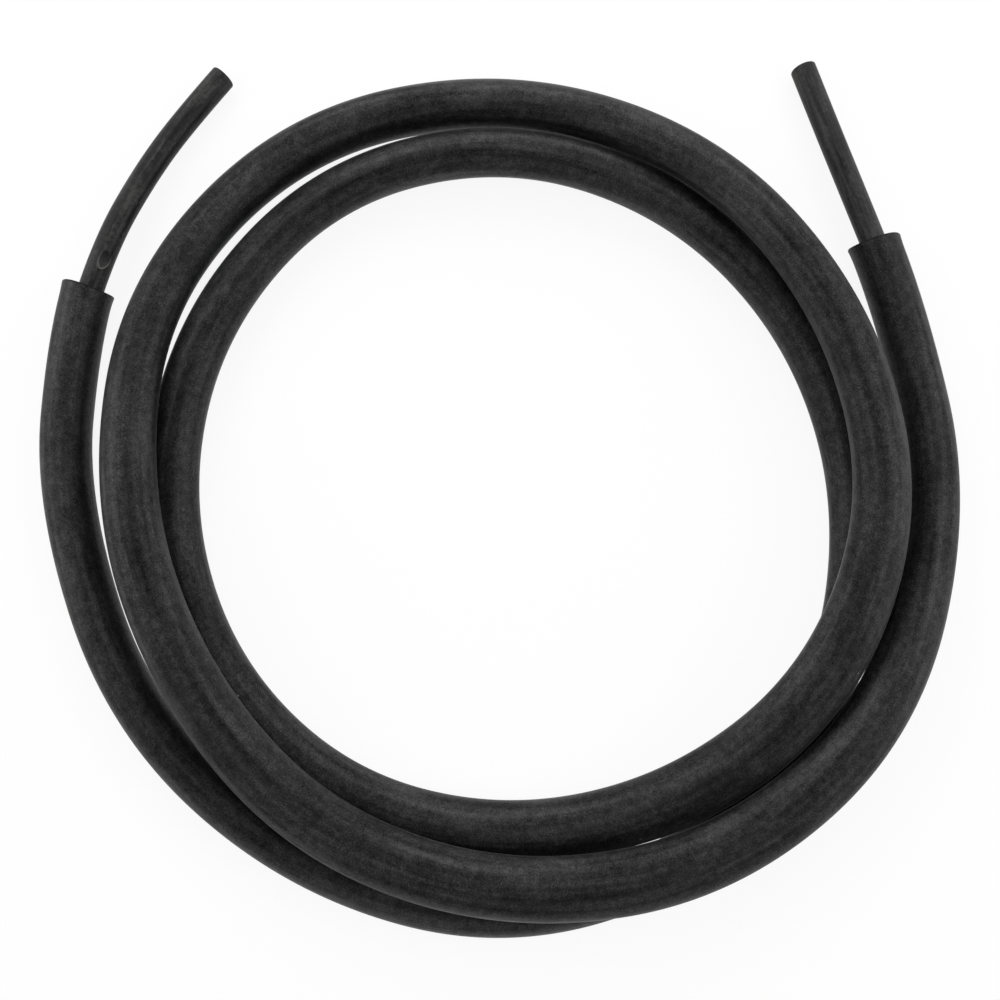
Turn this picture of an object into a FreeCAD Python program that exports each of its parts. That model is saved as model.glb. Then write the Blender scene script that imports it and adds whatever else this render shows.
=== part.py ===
import FreeCAD, Part
import math
import os

# A soaker hose laid down as a loose coil: a soft porous sleeve over an inner
# water tube that stands out of both cut ends. Millimetres, +Z up, the floor at
# Z 0 and the origin under the middle of the whole. The two ends point to +Y.

# Sleeve
SLEEVE_OUTSIDE = 16.0
SLEEVE_CLEARANCE = 0.35
SLEEVE_PRESSED_FLAT = 0.5
SLEEVE_STRAIGHT_END = 16.0

# Inner water tube
TUBE_OUTSIDE = 8.0
TUBE_BORE = 5.0

# Coil, seen from above: its middle, the radius of the ring that it is wound on,
# and how far outside that ring the centre line lies at every hour of a clock
# face, from 9 o'clock anticlockwise for two and a half turns
COIL_MIDDLE_X = 3.0
COIL_RADIUS = 115.0
HOURS_PER_TURN = 12
FIRST_HOUR_ANGLE = 180.0
COIL_OFFSETS = [
    21.0, 15.5, 13.5, 12.5, 6.5, -0.5, -7.5, -10.5, -11.0, -8.5, -6.5, -8.5,
    -10.5, -11.5, -12.0, -12.5, -11.0, -7.0, -3.5, -2.5, 3.0, 8.0, 11.5, 9.5,
    -0.5, -4.0, -1.5, 2.5, 8.0, 15.0, 16.5,
]
OFFSET_STEP_BEFORE = -9.5
OFFSET_STEP_AFTER = 2.5

# How far the centre line is lifted at each hour: 0 lies on the floor, and 1
# lies right on top of another strand
COIL_LIFTS = [
    0, 0, 0, 0, 0, 0, 0, 0, 0, 0, 0, 0,
    0, 0, 0, 0, 0.4, 1.0, 1.0, 0.9, 0.65, 0.25, 0, 0.1,
    0.85, 0.9, 0.85, 0.9, 1.0, 0.65, 0,
]
STRAND_GAP = 0.5
GAP_POINT_SPACING = 2.0

# Mouths, the cut ends of the sleeve: the angle round the coil, how far outside
# the ring the mouth lies, and by how many degrees it faces away from the ring
LEFT_MOUTH_ANGLE = 153.5
LEFT_MOUTH_OFFSET = 30.5
LEFT_MOUTH_TURNED_OUT = 11.0
RIGHT_MOUTH_ANGLE = 35.0
RIGHT_MOUTH_OFFSET = 23.5
RIGHT_MOUTH_TURNED_OUT = 17.0

# The tube runs straight out of each mouth for a way, then by these points to
# its own cut end: how far ahead of the mouth, how far in over the coil's middle,
# and the share of its fall to the floor
TUBE_STRAIGHT_EXIT = 8.0
LEFT_TUBE_POINTS = [(29.5, 4.0, 0.15), (53.0, 11.5, 0.45), (75.0, 22.5, 1.0)]
RIGHT_TUBE_POINTS = [(34.0, 1.0, 0.35), (58.5, 3.0, 1.0)]

sleeve_bore = TUBE_OUTSIDE + 2 * SLEEVE_CLEARANCE
floor_height = SLEEVE_OUTSIDE / 2 - SLEEVE_PRESSED_FLAT
full_lift = SLEEVE_OUTSIDE + STRAND_GAP
tube_fall = floor_height - TUBE_OUTSIDE / 2
coil_middle = FreeCAD.Vector(COIL_MIDDLE_X, 0, 0)
up = FreeCAD.Vector(0, 0, 1)


def facing(degrees):
    """The level direction at an angle from +X, anticlockwise."""
    angle = math.radians(degrees)
    return FreeCAD.Vector(math.cos(angle), math.sin(angle), 0)


def even_slope(before, after):
    """The slope at an hour: the mean of the steps before and after it."""
    return (before + after) / 2


def level_slope(before, after):
    """A slope that never overshoots, so that the hose lies flat on the floor."""
    if before * after <= 0:
        return 0.0
    return 2 * before * after / (before + after)


def slopes(values, rule, step_before, step_after):
    """The slope of a list of values at each hour, by the given rule."""
    steps = [after - before for before, after in zip(values, values[1:])]
    steps = [step_before] + steps + [step_after]
    return [rule(before, after) for before, after in zip(steps, steps[1:])]


def coil_stations():
    """The point and the direction of the centre line at every hour."""
    hour = 360.0 / HOURS_PER_TURN
    offset_slopes = slopes(COIL_OFFSETS, even_slope, OFFSET_STEP_BEFORE, OFFSET_STEP_AFTER)
    lift_slopes = slopes(COIL_LIFTS, level_slope, 0, 0)
    stations = []
    for number, (offset, lift) in enumerate(zip(COIL_OFFSETS, COIL_LIFTS)):
        radius = COIL_RADIUS + offset
        outwards = facing(FIRST_HOUR_ANGLE + hour * number)
        onwards = up.cross(outwards)
        point = coil_middle + outwards * radius + up * (floor_height + lift * full_lift)
        direction = onwards * radius * math.radians(hour) + outwards * offset_slopes[number]
        direction += up * lift_slopes[number] * full_lift
        stations.append((point, direction.normalize()))
    return stations


def arc_from(start, direction, end):
    """An arc that leaves start along direction and ends at end."""
    chord = end - start
    along = FreeCAD.Vector(chord).normalize()
    aside = direction - along * direction.dot(along)
    if aside.Length < 1e-6:
        return Part.LineSegment(start, end).toShape()
    turn = math.acos(max(-1.0, min(1.0, direction.dot(along))))
    rise = chord.Length / 2 * math.tan(turn / 2)
    top = start + chord * 0.5 + aside.normalize() * rise
    return Part.Arc(start, top, end).toShape()


def biarc(start, start_direction, end, end_direction):
    """Two arcs that meet smoothly and keep both end directions."""
    chord = end - start
    both = start_direction + end_direction
    bend = 2 * (1 - start_direction.dot(end_direction))
    along = chord.dot(both)
    if bend < 1e-9:
        reach = chord.dot(chord) / (2 * along)
    else:
        reach = (math.sqrt(along ** 2 + bend * chord.dot(chord)) - along) / bend
    middle = (start + end + (start_direction - end_direction) * reach) * 0.5
    first = arc_from(start, start_direction, middle)
    second = arc_from(end, end_direction * -1, middle)
    return [first, second]


def bent_run(points):
    """Straight runs joined by tangent arcs, each as large as its runs allow."""
    edges = []
    last = points[0]
    for before, corner, after in zip(points, points[1:], points[2:]):
        back = before - corner
        ahead = after - corner
        reach = 0.45 * min(back.Length, ahead.Length)
        arc_start = corner + FreeCAD.Vector(back).normalize() * reach
        arc_end = corner + FreeCAD.Vector(ahead).normalize() * reach
        turn = math.pi - back.getAngle(ahead)
        print("tube bend radius %.0f, turn %.1f" % (reach / math.tan(turn / 2), math.degrees(turn)))
        edges.append(Part.LineSegment(last, arc_start).toShape())
        edges.append(arc_from(arc_start, (corner - arc_start).normalize(), arc_end))
        last = arc_end
    edges.append(Part.LineSegment(last, points[-1]).toShape())
    return edges


def mouth(angle, offset, turned_out, winding):
    """A mouth's middle, the way it faces, and the way in over the coil's middle.

    winding is 1 where the coil comes anticlockwise to the mouth, and -1 where it
    comes clockwise.
    """
    outwards = facing(angle)
    middle = coil_middle + outwards * (COIL_RADIUS + offset) + up * floor_height
    faces = facing(angle + winding * (90 - turned_out))
    return middle, faces, up.cross(faces) * winding


def inner_end(one_mouth):
    """Where the straight stretch behind a mouth meets the coil."""
    middle, faces, inwards = one_mouth
    return middle - faces * SLEEVE_STRAIGHT_END


def coil_edges(left, right):
    """The coil between the straight stretches behind its two mouths."""
    first = (inner_end(left), left[1] * -1)
    last = (inner_end(right), right[1])
    joints = [first] + coil_stations() + [last]
    edges = []
    for (start, start_direction), (end, end_direction) in zip(joints, joints[1:]):
        edges += biarc(start, start_direction, end, end_direction)
    return edges


def tube_end_points(one_mouth, points):
    """The tube's points from the coil, through a mouth, to its own cut end."""
    middle, faces, inwards = one_mouth
    route = [inner_end(one_mouth), middle + faces * TUBE_STRAIGHT_EXIT]
    for ahead, aside, fall in points:
        route.append(middle + faces * ahead + inwards * aside - up * tube_fall * fall)
    return route


def joined(edges):
    """One wire of edges that follow each other."""
    return Part.Wire(Part.sortEdges(edges)[0])


def pipe(path, diameter):
    """A solid round bar along a path."""
    first = path.OrderedEdges[0]
    start = path.OrderedVertexes[0].Point
    ring = Part.Wire(Part.makeCircle(diameter / 2, start, first.tangentAt(first.FirstParameter)))
    sweep = Part.BRepOffsetAPI.MakePipeShell(path)
    sweep.add(ring)
    sweep.build()
    sweep.makeSolid()
    return sweep.shape()


def hollow_pipe(path, outside, bore):
    """A tube of one unbroken wall along a path."""
    wall = pipe(path, outside).cut(pipe(path, bore))
    section = math.pi / 4 * (outside ** 2 - bore ** 2)
    print("volume over section times length: %.4f" % (wall.Volume / (section * path.Length)))
    return wall


def least_gap(path, diameter):
    """The least gap between the strands of one tube, measured on points."""
    points = path.discretize(Distance=GAP_POINT_SPACING)
    skip = int(diameter * 2.5 / GAP_POINT_SPACING)
    nearest = path.Length
    for number, point in enumerate(points):
        for other in points[number + skip:]:
            nearest = min(nearest, point.distanceToPoint(other))
    return nearest - diameter


def below_floor(shape):
    """A block that fills the space under a shape, up to the floor."""
    box = shape.BoundBox
    margin = SLEEVE_OUTSIDE
    corner = FreeCAD.Vector(box.XMin - margin, box.YMin - margin, -margin)
    return Part.makeBox(box.XLength + 2 * margin, box.YLength + 2 * margin, margin, corner)


left_mouth = mouth(LEFT_MOUTH_ANGLE, LEFT_MOUTH_OFFSET, LEFT_MOUTH_TURNED_OUT, -1)
right_mouth = mouth(RIGHT_MOUTH_ANGLE, RIGHT_MOUTH_OFFSET, RIGHT_MOUTH_TURNED_OUT, 1)
coil = coil_edges(left_mouth, right_mouth)
left_end = Part.LineSegment(left_mouth[0], inner_end(left_mouth)).toShape()
right_end = Part.LineSegment(inner_end(right_mouth), right_mouth[0]).toShape()
left_tube = tube_end_points(left_mouth, LEFT_TUBE_POINTS)
right_tube = tube_end_points(right_mouth, RIGHT_TUBE_POINTS)
sleeve_path = joined([left_end] + coil + [right_end])
tube_path = joined(bent_run(left_tube) + coil + bent_run(right_tube))

print("sleeve length %.0f, tube length %.0f" % (sleeve_path.Length, tube_path.Length))
print("sleeve's least gap to itself %.2f" % least_gap(sleeve_path, SLEEVE_OUTSIDE))
tightest = min(edge.Curve.Radius for edge in sleeve_path.Edges if hasattr(edge.Curve, "Radius"))
print("coil's tightest bend radius %.0f" % tightest)
for route in (left_tube, right_tube):
    print("tube end at", route[-1], "facing", (route[-1] - route[-2]).normalize())

sleeve = hollow_pipe(sleeve_path, SLEEVE_OUTSIDE, sleeve_bore)
outer_hose = sleeve.cut(below_floor(sleeve)).Solids[0]
feed_tube = hollow_pipe(tube_path, TUBE_OUTSIDE, TUBE_BORE).Solids[0]

os.makedirs("parts", exist_ok=True)
for name, solid in (("outer_hose", outer_hose), ("feed_tube", feed_tube)):
    print(name, "valid", solid.isValid(), solid.optimalBoundingBox(True, False))
    solid.exportStep("parts/" + name + ".step")
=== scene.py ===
import math

import bmesh
import bpy
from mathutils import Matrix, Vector


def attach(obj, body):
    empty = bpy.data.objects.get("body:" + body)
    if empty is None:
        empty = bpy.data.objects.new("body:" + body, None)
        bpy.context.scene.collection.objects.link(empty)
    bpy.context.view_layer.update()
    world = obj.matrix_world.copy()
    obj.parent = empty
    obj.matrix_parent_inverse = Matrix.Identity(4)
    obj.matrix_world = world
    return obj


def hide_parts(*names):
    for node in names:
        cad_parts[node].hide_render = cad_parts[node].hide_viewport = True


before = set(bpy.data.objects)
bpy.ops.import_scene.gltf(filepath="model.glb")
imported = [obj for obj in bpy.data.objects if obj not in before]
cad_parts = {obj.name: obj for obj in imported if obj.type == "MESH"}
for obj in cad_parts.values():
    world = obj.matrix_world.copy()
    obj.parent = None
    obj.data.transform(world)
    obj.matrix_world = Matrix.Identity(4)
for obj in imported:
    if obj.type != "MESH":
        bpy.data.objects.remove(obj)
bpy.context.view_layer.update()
bpy.ops.object.select_all(action="DESELECT")


# CAMERA
# The hose lies flat and is photographed from straight above, from about 44 cm:
# one pixel is 0.31 mm at the height of the hose's middle.

# sizes are written in millimetres, and turned to metres where Blender takes them
MM = 0.001
CAMERA_PLACE = (0.5, -0.5, 438.6)

bpy.ops.object.camera_add(location=[number * MM for number in CAMERA_PLACE],
                          rotation=(0, 0, 0))
camera = bpy.context.object
camera.data.lens = 50
camera.data.sensor_width = 36
camera.data.clip_start = 0.01
bpy.context.scene.camera = camera


# SLEEVE
# The outer sleeve: one length of soft, porous soaker rubber, extruded 16 mm
# thick and laid down in two and two thirds loose turns. It squashes to an oval
# where its turns lie on each other, and both ends are cut off by hand.

COIL_MIDDLE = Vector((3.0, 0, 0))
COIL_RADIUS = 115.0
HOUR = 30.0
FIRST_HOUR = 180.0
UP = Vector((0, 0, 1))

# For every hour of a clock face, from 9 o'clock anticlockwise: how far outside
# the ring the hose's middle lies, how high its underside is, and its width
SLEEVE_HOURS = [
    # first turn, on the floor, with a low hump at 12 o'clock
    (19.3, 0, 15.7), (16.1, 0, 15.5), (12.7, 0, 15.7), (13.5, 0, 16.5),
    (8.4, 0, 16.5), (-0.1, 0, 16.5), (-7.9, 0, 16.5), (-10.8, 0, 16.8),
    (-11.1, 0, 14.6), (-9.3, 6.9, 14.9), (-6.0, 0, 14.6), (-8.7, 0, 15.5),
    # second turn, which climbs onto the first one at 5 o'clock, and comes down
    # outside it between 2 and 12 o'clock
    (-11.1, 0, 16.6), (-11.8, 0, 16.6), (-12.0, 0, 16.8), (-12.8, 0, 17.6),
    (-10.6, 8.0, 20.6), (-6.5, 16.4, 19.3), (-3.2, 17.0, 17.3), (-3.5, 17.3, 15.6),
    (1.8, 10.0, 14.0), (6.8, 0, 15.1), (11.4, 0, 15.3), (9.8, 1.8, 15.4),
    # last half turn, on top of the others and back down to the floor
    (-2.2, 16.1, 17.2), (-6.0, 15.6, 18.4), (-1.9, 13.7, 19.4), (1.9, 14.2, 19.8),
    (8.0, 18.2, 20.3), (15.0, 11.3, 18.6), (15.8, 0, 16.0),
]
SLEEVE_ROUND = 16.0
SLEEVE_BORE = 8.7
PRESSED_FLAT = 0.5
# what the sleeve gains in height for every millimetre of width that it loses
SQUASHED_RISE = 0.6

# The mouths: the angle round the coil, how far outside the ring, by how many degrees
# it faces away from the ring, the way that the coil comes to it, how long its last
# stretch is, and how much its outer side is cut ahead, or behind where negative
LEFT_MOUTH = {"angle": 153.5, "offset": 30.5, "turned_out": 10.5, "winding": -1,
              "last_stretch": 16.0, "skew": 0.01}
RIGHT_MOUTH = {"angle": 35.0, "offset": 23.5, "turned_out": 13.0, "winding": 1,
               "last_stretch": 22.0, "skew": -0.13}
MOUTH_WIDTH = 15.8

# rings between two points of a line, and points round a ring
SLEEVE_STEPS = 26
RING_POINTS = 48
# how far from a cut the bore widens, the rings lean with the cut, and the wall flares
BORE_REACH = 25
LEAN_REACH = 12
FLARE_REACH = 5
# the places round a cut's rim, in degrees, and how far the bore is darkened, where a cut is 1:
# raw rubber, and painted shade in the hollow of the bore
RIM_TURNS = (0, 22.5, 45, 67.5, 90)
RAW_AND_SHADED_BORE = 0.6
# the sharpest corner that is still shaded smooth, in degrees
SMOOTH_CORNER = 35


def facing(degrees):
    """The level direction at an angle from the right-hand side."""
    return Vector((math.cos(math.radians(degrees)), math.sin(math.radians(degrees)), 0))


def height_of(width):
    """How high the sleeve is where it is squashed to a width."""
    return SLEEVE_ROUND + SQUASHED_RISE * (SLEEVE_ROUND - width)


def middle_height(lift, width):
    """How high the middle of the sleeve lies above the floor."""
    return lift + height_of(width) / 2 - PRESSED_FLAT


def mouth_middle(mouth):
    """The middle of a mouth, the way that it faces, and where the coil behind it bends."""
    middle = COIL_MIDDLE + facing(mouth["angle"]) * (COIL_RADIUS + mouth["offset"])
    middle.z = middle_height(0, MOUTH_WIDTH)
    faces = facing(mouth["angle"] + mouth["winding"] * (90 - mouth["turned_out"]))
    return middle, faces, middle - faces * mouth["last_stretch"]


def coil_points():
    """The sleeve's own points at every hour, as far out as its smooth line needs them."""
    points = []
    for number, (offset, lift, width) in enumerate(SLEEVE_HOURS):
        outwards = facing(FIRST_HOUR + HOUR * number)
        radius = (COIL_RADIUS + offset) / math.cos(math.radians(HOUR / 2))
        point = COIL_MIDDLE + outwards * radius
        point.z = middle_height(lift, width)
        points.append(point)
    return points


def smooth_line(points, steps):
    """The smooth line led by a row of points, as a row of ring centres."""
    curve = bpy.data.curves.new("line", "CURVE")
    curve.dimensions = "3D"
    spline = curve.splines.new("NURBS")
    spline.points.add(len(points) - 1)
    for knot, point in zip(spline.points, points):
        knot.co = (*point, 1)
    spline.order_u = 3
    spline.use_endpoint_u = True
    spline.resolution_u = steps
    holder = bpy.data.objects.new("line", curve)
    bpy.context.collection.objects.link(holder)
    line = bpy.data.meshes.new_from_object(holder)
    centres = [vertex.co.copy() for vertex in line.vertices]
    bpy.data.objects.remove(holder)
    bpy.data.curves.remove(curve)
    bpy.data.meshes.remove(line)
    return centres


def hose_skin(name, line, sections, bore, opening, rim, slant, skews, twist, flare):
    """A hose's wall as one closed skin, over its outside and back along its bore.

    line holds the ring centres, and sections the width and height of every ring.
    opening widens the bore towards its ends, rim rounds the edges of the cuts, and
    flare widens the wall there, all in millimetres. slant leans the top of both
    cuts ahead, each of the skews does so for the outer side of one cut, and twist
    for a corner between the two.
    """
    along = [0.0]
    for before, after in zip(line, line[1:]):
        along.append(along[-1] + (after - before).length)
    whole = along[-1]
    tangents = [(after - before).normalized()
                for before, after in zip(line[:1] + line[:-1], line[1:] + line[-1:])]

    # every ring: its centre, tangent, half width, half height, place along the hose,
    # and how far it is darkened: raw rubber at the cuts, and painted shade on the cut faces and
    # in the bore
    outside = []
    inside = []
    for number, centre in enumerate(line):
        width, height = sections[number]
        row = (centre, tangents[number], width / 2, height / 2, along[number], 0.0)
        if 0 < number < len(line) - 1:
            outside.append(row)
        to_end = min(along[number], whole - along[number])
        radius = bore / 2 + opening * max(0, 1 - to_end / BORE_REACH) ** 2
        inside.append((centre, tangents[number], radius, radius, along[number], RAW_AND_SHADED_BORE))

    def rim_rings(end, way):
        width, height = sections[end]
        rings = []
        for turn in RIM_TURNS:
            back = rim * (1 - math.cos(math.radians(turn)))
            shrink = rim * (1 - math.sin(math.radians(turn)))
            rings.append((line[end] + tangents[end] * back * way, tangents[end],
                          width / 2 - shrink, height / 2 - shrink,
                          along[end] + back * way, 1 - (turn / 90) ** 3))
        return rings

    rings = rim_rings(0, 1) + outside + rim_rings(-1, -1)[::-1] + inside[::-1]
    outside_rings = len(rings) - len(inside)

    # straight is where each point would lie if the hose were straight
    vertices = []
    straight = []
    cut = []
    for number, (centre, tangent, half_width, half_height, place, raw_and_shaded) in enumerate(rings):
        side = tangent.cross(UP).normalized()
        over = side.cross(tangent)
        to_end = min(place, whole - place)
        way, skew = (-1, skews[0]) if place < whole / 2 else (1, skews[1])
        near = max(0.0, 1 - to_end / LEAN_REACH)
        opened = 0
        if number < outside_rings:
            opened = flare * max(0.0, 1 - to_end / FLARE_REACH) ** 2
        for step in range(RING_POINTS):
            angle = 2 * math.pi * step / RING_POINTS
            across = (half_width + opened) * math.cos(angle)
            upwards = (half_height + opened) * math.sin(angle)
            point = centre + side * across + over * upwards
            ahead = slant * upwards + skew * across + twist * upwards * across
            point += tangent * way * near * ahead
            point.z = max(point.z, 0)
            vertices.append(point * MM)
            straight.append((across * MM, upwards * MM, place * MM))
            cut.append(raw_and_shaded)
    faces = []
    for number in range(len(rings)):
        here = number * RING_POINTS
        there = (number + 1) % len(rings) * RING_POINTS
        for step in range(RING_POINTS):
            after = (step + 1) % RING_POINTS
            faces.append((here + step, there + step, there + after, here + after))

    mesh = bpy.data.meshes.new(name)
    mesh.from_pydata(vertices, [], faces)
    lies = mesh.attributes.new("straight", "FLOAT_VECTOR", "POINT")
    lies.data.foreach_set("vector", [number for row in straight for number in row])
    # the cut attribute darkens the cut faces and the bore: raw rubber, and painted shade
    cuts = mesh.attributes.new("cut", "FLOAT", "POINT")
    cuts.data.foreach_set("value", cut)
    hose = bpy.data.objects.new(name, mesh)
    bpy.context.collection.objects.link(hose)
    bpy.ops.object.select_all(action="DESELECT")
    hose.select_set(True)
    bpy.context.view_layer.objects.active = hose
    bpy.ops.object.shade_smooth_by_angle(angle=math.radians(SMOOTH_CORNER))
    hose.select_set(False)
    return hose


left_middle, left_faces, left_bend = mouth_middle(LEFT_MOUTH)
right_middle, right_faces, right_bend = mouth_middle(RIGHT_MOUTH)
coil = [left_bend] + coil_points() + [right_bend]
sleeve_line = smooth_line([left_middle] + coil + [right_middle], SLEEVE_STEPS)
# each mouth has two points, its own and the one where the coil behind it bends
mouth_widths = [MOUTH_WIDTH] * 2
hour_widths = [width for offset, lift, width in SLEEVE_HOURS]
width_points = [Vector((width, 0, 0)) for width in mouth_widths + hour_widths + mouth_widths]
width_line = smooth_line(width_points, SLEEVE_STEPS)
sleeve_sections = [(ring.x, height_of(ring.x)) for ring in width_line]

sleeve = hose_skin("sleeve", sleeve_line, sleeve_sections, SLEEVE_BORE,
                   opening=0.9, rim=0.6, slant=0.1,
                   skews=(LEFT_MOUTH["skew"], RIGHT_MOUTH["skew"]), twist=0.008, flare=0.3)


def hex_colour(code):
    """A written sRGB colour as the linear one that a shader takes."""
    channels = [int(code[place:place + 2], 16) / 255 for place in (1, 3, 5)]
    return [c / 12.92 if c <= 0.04045 else ((c + 0.055) / 1.055) ** 2.4 for c in channels] + [1]


def add_node(tree, kind, settings=(), inputs=(), links=()):
    """A node of a material, with its settings, its input values and what feeds it.

    An input that shares its name with others goes by its number. In a Mix node 0 is
    the share, 2 and 3 are the numbers that it mixes, and 6 and 7 the colours.
    """
    node = tree.nodes.new(kind)
    for key, value in dict(settings).items():
        setattr(node, key, value)
    for key, value in dict(inputs).items():
        node.inputs[key].default_value = value
    for key, source in dict(links).items():
        tree.links.new(source, node.inputs[key])
    return node


def colour_steps(ramp, steps):
    """The colours of a ramp, each at its place."""
    elements = ramp.color_ramp.elements
    while len(elements) < len(steps):
        elements.new(0.5)
    for element, (place, colour) in zip(elements, steps):
        element.position = place
        element.color = hex_colour(colour)


# Porous soaker rubber: recycled crumb in a soft binder, extruded. The crumb mottles
# it, the die leaves long broken draw marks, and a grey bloom dusts the worn tops.
porous_rubber = bpy.data.materials.new("porous_soaker_rubber")
porous_rubber.use_nodes = True
tree = porous_rubber.node_tree
surface = tree.nodes["Principled BSDF"]
surface.inputs["Roughness"].default_value = 0.5
surface.inputs["IOR"].default_value = 1.5
surface.inputs["Sheen Weight"].default_value = 0.12
surface.inputs["Sheen Roughness"].default_value = 0.3
lie = add_node(tree, "ShaderNodeAttribute", {"attribute_name": "straight"}).outputs["Vector"]
# draw marks about 2 mm wide and 5 cm long
along_hose = add_node(tree, "ShaderNodeMapping",
                      inputs={"Scale": (450, 450, 20)}, links={"Vector": lie})
draw_marks = add_node(tree, "ShaderNodeTexNoise",
                      inputs={"Scale": 1.0, "Detail": 2.0, "Roughness": 0.5},
                      links={"Vector": along_hose.outputs["Vector"]})
# worn and dusty patches about 7 mm wide and 2 cm long
patches = add_node(tree, "ShaderNodeMapping",
                   inputs={"Scale": (150, 150, 55)}, links={"Vector": lie})
bloom = add_node(tree, "ShaderNodeTexNoise",
                 inputs={"Scale": 1.0, "Detail": 2.0, "Roughness": 0.5},
                 links={"Vector": patches.outputs["Vector"]})
# soft mottling of 1 to 2 mm, and the crumb itself, 0.4 mm
mottling = add_node(tree, "ShaderNodeTexNoise",
                    inputs={"Scale": 420.0, "Detail": 3.0, "Roughness": 0.6},
                    links={"Vector": lie})
crumb = add_node(tree, "ShaderNodeTexNoise",
                 inputs={"Scale": 2400.0, "Detail": 2.0, "Roughness": 0.6},
                 links={"Vector": lie})
long_marks = add_node(tree, "ShaderNodeMix", {"data_type": "FLOAT"}, {0: 0.4},
                      {2: draw_marks.outputs["Fac"], 3: bloom.outputs["Fac"]})
soft_marks = add_node(tree, "ShaderNodeMix", {"data_type": "FLOAT"}, {0: 0.35},
                      {2: long_marks.outputs[0], 3: mottling.outputs["Fac"]})
all_marks = add_node(tree, "ShaderNodeMix", {"data_type": "FLOAT"}, {0: 0.38},
                     {2: soft_marks.outputs[0], 3: crumb.outputs["Fac"]})
colours = add_node(tree, "ShaderNodeValToRGB", links={"Fac": all_marks.outputs[0]})
colour_steps(colours, [(0.38, "#050605"), (0.5, "#141514"), (0.62, "#2D2E2D")])
# the dark marks are open and dull, the bloom between them is closed and shines a little
shine = add_node(tree, "ShaderNodeMapRange",
                 inputs={"From Min": 0.38, "From Max": 0.62, "To Min": 0.08, "To Max": 0.42},
                 links={"Value": all_marks.outputs[0]})
# pale specks of dust, about half a millimetre, in one cell of the pattern in five
specks = add_node(tree, "ShaderNodeTexVoronoi", inputs={"Scale": 130.0}, links={"Vector": lie})
speck_size = add_node(tree, "ShaderNodeMapRange",
                      inputs={"From Min": 0.03, "From Max": 0.055, "To Min": 1.0, "To Max": 0.0},
                      links={"Value": specks.outputs["Distance"]})
cell = add_node(tree, "ShaderNodeSeparateColor", links={"Color": specks.outputs["Color"]})
chosen = add_node(tree, "ShaderNodeMath", {"operation": "GREATER_THAN"}, {1: 0.8},
                  {0: cell.outputs["Red"]})
speck_mask = add_node(tree, "ShaderNodeMath", {"operation": "MULTIPLY"},
                      links={0: speck_size.outputs["Result"], 1: chosen.outputs[0]})
dusted = add_node(tree, "ShaderNodeMix", {"data_type": "RGBA"}, {7: hex_colour("#5A5B57")},
                  {0: speck_mask.outputs[0], 6: colours.outputs["Color"]})
# the cut ends and the bore are made blacker and quite dull: open crumb at the cuts, and painted
# shade on the cut faces and in the bore
cut_and_shade_mask = add_node(tree, "ShaderNodeAttribute", {"attribute_name": "cut"})
fresh_cut_and_shade = add_node(tree, "ShaderNodeMix", {"data_type": "RGBA"}, {7: hex_colour("#050505")},
                 {0: cut_and_shade_mask.outputs["Fac"], 6: dusted.outputs[2]})
tree.links.new(fresh_cut_and_shade.outputs[2], surface.inputs["Base Color"])
dull = add_node(tree, "ShaderNodeMix", {"data_type": "FLOAT"}, {3: 0.02},
                {0: cut_and_shade_mask.outputs["Fac"], 2: shine.outputs["Result"]})
tree.links.new(dull.outputs[0], surface.inputs["Specular IOR Level"])
bump = add_node(tree, "ShaderNodeBump", inputs={"Strength": 0.6, "Distance": 0.00015},
                links={"Height": crumb.outputs["Fac"]})
tree.links.new(bump.outputs["Normal"], surface.inputs["Normal"])
sleeve.data.materials.append(porous_rubber)

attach(sleeve, "root")
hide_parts("outer_hose")


# WATER TUBE
# The inner tube that carries the water: one length of firmer extruded rubber,
# 8 mm outside, all the way through the sleeve. Its bare ends sag to the floor,
# and the left one has an oval thumbnail mark near the mouth.

TUBE_OUTSIDE = 8.0
TUBE_BORE = 5.0
TUBE_RIM = 0.5
TUBE_STEPS = 18
# How far ahead of its mouth, how far in over the coil, and how high
LEFT_TUBE_POINTS = [(16.0, 1.4, 7.3), (38.8, 6.6, 6.2), (57.9, 13.0, 4.9), (75.9, 21.2, 4.0)]
RIGHT_TUBE_POINTS = [(22.0, 0.0, 7.1), (41.0, -0.4, 5.6), (59.1, -1.0, 4.0)]


def tube_end(middle, faces, winding, points):
    """The tube's points from just outside a mouth to its own cut end."""
    inwards = UP.cross(faces) * winding
    route = []
    for ahead, aside, height in points:
        point = middle + faces * ahead + inwards * aside
        point.z = height
        route.append(point)
    return route


left_end = tube_end(left_middle, left_faces, LEFT_MOUTH["winding"], LEFT_TUBE_POINTS)
right_end = tube_end(right_middle, right_faces, RIGHT_MOUTH["winding"], RIGHT_TUBE_POINTS)
tube_line = smooth_line(left_end[::-1] + coil + right_end, TUBE_STEPS)
tube_sections = [(TUBE_OUTSIDE, TUBE_OUTSIDE)] * len(tube_line)
tube = hose_skin("water_tube", tube_line, tube_sections, TUBE_BORE,
                 opening=0, rim=TUBE_RIM, slant=0.12, skews=(0, 0), twist=0, flare=0)

# The thumbnail mark is pressed into the skin. Its middle lies so far from the left
# tip and so far across, and a low edge stands up round it.
MARK_PLACE = 69.3
MARK_ACROSS = -1.8
MARK_HALF_LENGTH = 2.8
MARK_HALF_WIDTH = 1.4
MARK_DEPTH = 0.35
MARK_EDGE = 0.12
# the top of the edge and how wide it is, where the mark's half length is 1
EDGE_TOP = 1.05
EDGE_WIDTH = 0.16
# The skin is cut finer round the mark: so far each way along, down to so far below
# the tube's middle, and with so many cuts in each edge
PATCH_REACH = 4.5
PATCH_LOWEST = -0.5
PATCH_CUTS = 5
# the radius beyond which a point is on the outside of the tube
OUTSIDE_FROM = TUBE_OUTSIDE / 2 - TUBE_RIM

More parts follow.
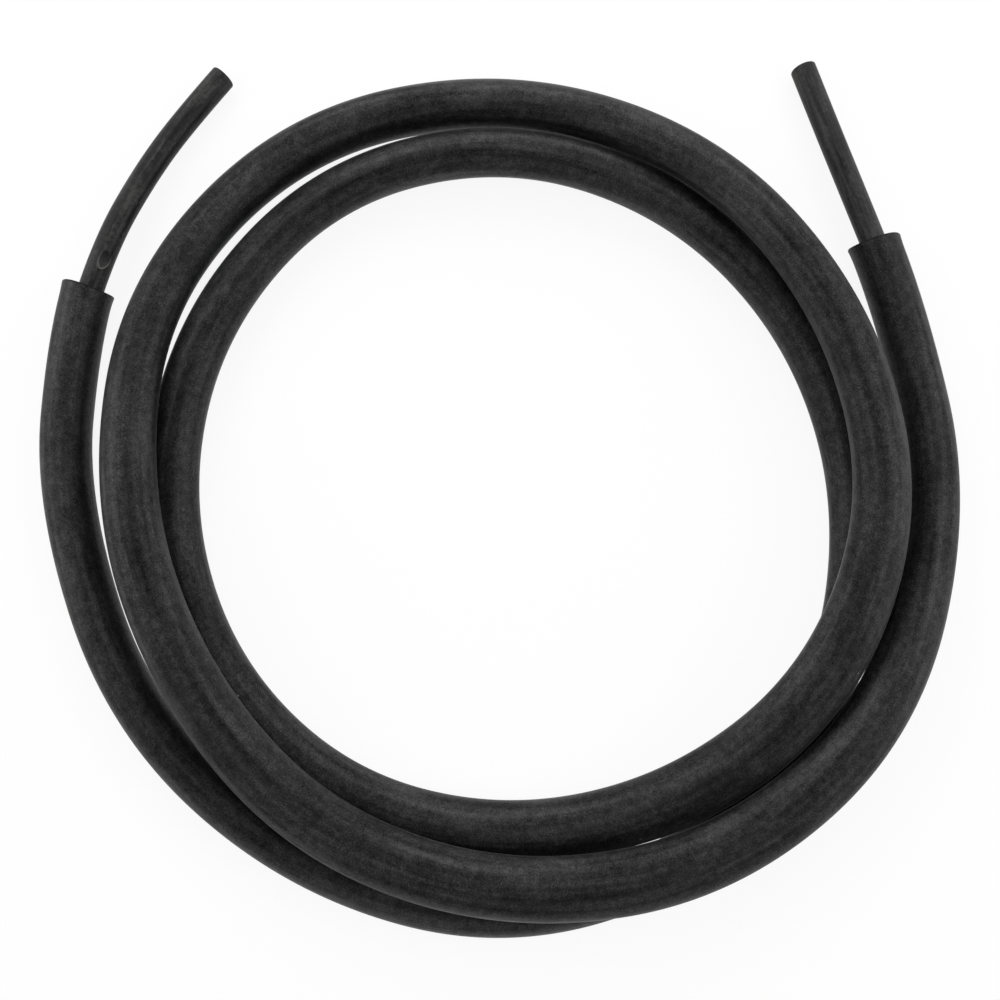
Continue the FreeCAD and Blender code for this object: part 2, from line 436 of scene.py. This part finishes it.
skin = bmesh.new()
skin.from_mesh(tube.data)
lies = skin.verts.layers.float_vector["straight"]
patch = set()
for corner in skin.verts:
    across, upwards, place = corner[lies] / MM
    outside = math.hypot(across, upwards) > OUTSIDE_FROM
    if outside and upwards > PATCH_LOWEST and abs(place - MARK_PLACE) < PATCH_REACH:
        patch.add(corner)
edges = [edge for edge in skin.edges if patch.issuperset(edge.verts)]
bmesh.ops.subdivide_edges(skin, edges=edges, cuts=PATCH_CUTS, use_grid_fill=True)
skin.to_mesh(tube.data)
skin.free()
outwards = [vertex.normal.copy() for vertex in tube.data.vertices]
lies = tube.data.attributes["straight"].data
for vertex, row, out_of in zip(tube.data.vertices, lies, outwards):
    across, upwards, place = row.vector / MM
    if upwards < 0 or math.hypot(across, upwards) < OUTSIDE_FROM:
        continue
    from_middle = math.hypot((place - MARK_PLACE) / MARK_HALF_LENGTH,
                             (across - MARK_ACROSS) / MARK_HALF_WIDTH)
    pressed = MARK_DEPTH * max(0, 1 - from_middle ** 2)
    raised = MARK_EDGE * math.exp(-((from_middle - EDGE_TOP) / EDGE_WIDTH) ** 2)
    vertex.co += out_of * (raised - pressed) * MM

# Extruded tube rubber: denser and closed, so it shines a little more than the sleeve,
# with dust smeared along it in streaks by the hand that pushed it through.
tube_rubber = bpy.data.materials.new("closed_tube_rubber")
tube_rubber.use_nodes = True
tree = tube_rubber.node_tree
surface = tree.nodes["Principled BSDF"]
surface.inputs["IOR"].default_value = 1.5
surface.inputs["Specular IOR Level"].default_value = 0.24
surface.inputs["Sheen Weight"].default_value = 0.12
surface.inputs["Sheen Roughness"].default_value = 0.3
lie = add_node(tree, "ShaderNodeAttribute", {"attribute_name": "straight"}).outputs["Vector"]
# streaks about 1 mm wide and 2 cm long, smears of 4 by 14 mm, and a grain of 1 mm
along_tube = add_node(tree, "ShaderNodeMapping",
                      inputs={"Scale": (800, 800, 45)}, links={"Vector": lie})
streaks = add_node(tree, "ShaderNodeTexNoise",
                   inputs={"Scale": 1.0, "Detail": 4.0, "Roughness": 0.55},
                   links={"Vector": along_tube.outputs["Vector"]})
smears = add_node(tree, "ShaderNodeMapping",
                  inputs={"Scale": (260, 260, 70)}, links={"Vector": lie})
dust = add_node(tree, "ShaderNodeTexNoise",
                inputs={"Scale": 1.0, "Detail": 3.0, "Roughness": 0.6},
                links={"Vector": smears.outputs["Vector"]})
grain = add_node(tree, "ShaderNodeTexNoise",
                 inputs={"Scale": 900.0, "Detail": 4.0, "Roughness": 0.7},
                 links={"Vector": lie})
long_streaks = add_node(tree, "ShaderNodeMix", {"data_type": "FLOAT"}, {0: 0.45},
                        {2: streaks.outputs["Fac"], 3: dust.outputs["Fac"]})
rubbed = add_node(tree, "ShaderNodeMix", {"data_type": "FLOAT"}, {0: 0.3},
                  {2: long_streaks.outputs[0], 3: grain.outputs["Fac"]})
colours = add_node(tree, "ShaderNodeValToRGB", links={"Fac": rubbed.outputs[0]})
colour_steps(colours, [(0.38, "#050505"), (0.5, "#131413"), (0.62, "#3A3A39")])
# more dust on the right end, the thickest by its mouth, 6 cm from the tip; it lies
# between the streaks
places = add_node(tree, "ShaderNodeSeparateXYZ", links={"Vector": lie})
towards_mouth = add_node(tree, "ShaderNodeMapRange",
                         inputs={"From Min": 2.09, "From Max": 2.035,
                                 "To Min": 0.0, "To Max": 1.0},
                         links={"Value": places.outputs["Z"]})
right_end_only = add_node(tree, "ShaderNodeMath", {"operation": "GREATER_THAN"}, {1: 2.0},
                          {0: places.outputs["Z"]})
right_end_dust = add_node(tree, "ShaderNodeMath", {"operation": "MULTIPLY"},
                          links={0: towards_mouth.outputs["Result"],
                                 1: right_end_only.outputs[0]})
between_streaks = add_node(tree, "ShaderNodeMapRange",
                           inputs={"From Min": 0.44, "From Max": 0.58,
                                   "To Min": 0.0, "To Max": 0.75},
                           links={"Value": rubbed.outputs[0]})
dust_lies = add_node(tree, "ShaderNodeMath", {"operation": "MULTIPLY"},
                     links={0: right_end_dust.outputs[0], 1: between_streaks.outputs["Result"]})
dusty = add_node(tree, "ShaderNodeMix", {"data_type": "RGBA"}, {7: hex_colour("#3A3A3B")},
                 {0: dust_lies.outputs[0], 6: colours.outputs["Color"]})
# the paler it is rubbed, the duller it is
dulled = add_node(tree, "ShaderNodeMapRange",
                  inputs={"From Min": 0.4, "From Max": 0.62, "To Min": 0.36, "To Max": 0.6},
                  links={"Value": rubbed.outputs[0]})
tree.links.new(dulled.outputs["Result"], surface.inputs["Roughness"])
# the cut ends and the bore are blacker: raw rubber at the cuts, and painted shade on the cut
# faces and in the bore
cut_and_shade_mask = add_node(tree, "ShaderNodeAttribute", {"attribute_name": "cut"})
fresh_cut_and_shade = add_node(tree, "ShaderNodeMix", {"data_type": "RGBA"}, {7: hex_colour("#0A0A0A")},
                 {0: cut_and_shade_mask.outputs["Fac"], 6: dusty.outputs[2]})
# a painted highlight on the thumbnail mark's raised edge, on the side of the mouth, where
# it catches the light; it is drawn from an oval that is larger than the mark, and so tall that
# height hardly counts
HIGHLIGHT_OVAL = 1.5
off_mark = add_node(tree, "ShaderNodeVectorMath", {"operation": "SUBTRACT"},
                    {1: (MARK_ACROSS * MM, 0.004, MARK_PLACE * MM)}, {0: lie})
oval = add_node(tree, "ShaderNodeVectorMath", {"operation": "DIVIDE"},
                {1: (HIGHLIGHT_OVAL * MARK_HALF_WIDTH * MM, 0.008,
                     HIGHLIGHT_OVAL * MARK_HALF_LENGTH * MM)},
                {0: off_mark.outputs["Vector"]})
from_mark = add_node(tree, "ShaderNodeVectorMath", {"operation": "LENGTH"},
                     links={0: oval.outputs["Vector"]})
edge_highlight = add_node(tree, "ShaderNodeValToRGB", links={"Fac": from_mark.outputs["Value"]})
colour_steps(edge_highlight, [(0.6, "#000000"), (0.67, "#FFFFFF"),
                         (0.71, "#FFFFFF"), (0.79, "#000000")])
mark_places = add_node(tree, "ShaderNodeSeparateXYZ",
                       links={"Vector": off_mark.outputs["Vector"]})
highlight_side = add_node(tree, "ShaderNodeMapRange",
                      inputs={"From Min": -0.0015, "From Max": 0.0012,
                              "To Min": 0.0, "To Max": 0.8},
                      links={"Value": mark_places.outputs["Z"]})
# the painted highlight: a pale edge, only on the mark's side towards the mouth
painted_edge_highlight = add_node(tree, "ShaderNodeMath", {"operation": "MULTIPLY"},
                     links={0: edge_highlight.outputs["Color"], 1: highlight_side.outputs["Result"]})
marked = add_node(tree, "ShaderNodeMix", {"data_type": "RGBA"}, {7: hex_colour("#585856")},
                  {0: painted_edge_highlight.outputs[0], 6: fresh_cut_and_shade.outputs[2]})
tree.links.new(marked.outputs[2], surface.inputs["Base Color"])
bump = add_node(tree, "ShaderNodeBump", inputs={"Strength": 0.4, "Distance": 0.0001},
                links={"Height": grain.outputs["Fac"]})
tree.links.new(bump.outputs["Normal"], surface.inputs["Normal"])
tube.data.materials.append(tube_rubber)

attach(tube, "root")
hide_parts("feed_tube")


# TABLE AND LIGHT
# A white table top inside a round white screen, lit by three soft boxes. The camera
# sees the table white, with a part of the hose's shadow left on it.

TABLE_RADIUS = 3.0
SCREEN_HEIGHT = 1.6
# how much of the white that the camera sees is the table's own glow
GLOW_SHARE = 0.9

bpy.ops.mesh.primitive_cylinder_add(vertices=96, radius=TABLE_RADIUS, depth=SCREEN_HEIGHT,
                                    location=(0, 0, SCREEN_HEIGHT / 2))
table = bpy.context.object
table.name = "table_top"
bpy.ops.object.transform_apply(location=True)
# the lid comes off, and what is left faces inwards
for face in table.data.polygons:
    face.select = face.normal.z > 0.5
for part in [*table.data.edges, *table.data.vertices]:
    part.select = False
bpy.ops.object.mode_set(mode="EDIT")
bpy.ops.mesh.select_mode(type="FACE")
bpy.ops.mesh.delete(type="ONLY_FACE")
bpy.ops.mesh.select_all(action="SELECT")
bpy.ops.mesh.flip_normals()
bpy.ops.object.mode_set(mode="OBJECT")

# Table laminate: matt white melamine, which glows where the camera, a reflection or
# a clear part sees it
white = bpy.data.materials.new("white_table_laminate")
white.use_nodes = True
tree = white.node_tree
laminate = tree.nodes["Principled BSDF"]
laminate.inputs["Base Color"].default_value = hex_colour("#F4F4F4")
laminate.inputs["Roughness"].default_value = 0.6
rays = add_node(tree, "ShaderNodeLightPath")
seen_or_mirrored = add_node(tree, "ShaderNodeMath", {"operation": "ADD"},
                            links={0: rays.outputs["Is Camera Ray"],
                                   1: rays.outputs["Is Glossy Ray"]})
seen = add_node(tree, "ShaderNodeMath", {"operation": "ADD", "use_clamp": True},
                links={0: seen_or_mirrored.outputs[0], 1: rays.outputs["Is Transmission Ray"]})
share = add_node(tree, "ShaderNodeMath", {"operation": "MULTIPLY"}, {1: GLOW_SHARE},
                 {0: seen.outputs[0]})
glow = add_node(tree, "ShaderNodeEmission", inputs={"Strength": 1.0})
seen_white = add_node(tree, "ShaderNodeMixShader",
                      links={0: share.outputs[0], 1: laminate.outputs[0], 2: glow.outputs[0]})
tree.links.new(seen_white.outputs[0], tree.nodes["Material Output"].inputs["Surface"])
table.data.materials.append(white)

world = bpy.data.worlds.new("studio")
world.use_nodes = True
daylight = world.node_tree.nodes["Background"]
daylight.inputs["Color"].default_value = hex_colour("#FFFFFF")
daylight.inputs["Strength"].default_value = 0.3
bpy.context.scene.world = world

# soft boxes, a wide one at the back and one at each side: place, width and height in
# metres, and watts
SOFT_BOXES = [
    ((0, 0.9, 0.7), 1.2, 0.8, 9),
    ((-0.9, 0.1, 0.7), 1.0, 0.8, 6),
    ((0.9, 0.1, 0.7), 1.0, 0.8, 6),
]
for place, width, height, watts in SOFT_BOXES:
    bpy.ops.object.light_add(type="AREA", location=place)
    panel = bpy.context.object
    panel.data.shape = "RECTANGLE"
    panel.data.size = width
    panel.data.size_y = height
    panel.data.energy = watts
    panel.visible_camera = False
    panel.rotation_euler = (-Vector(place)).to_track_quat("-Z", "Y").to_euler()

bpy.context.scene.view_settings.view_transform = "Standard"
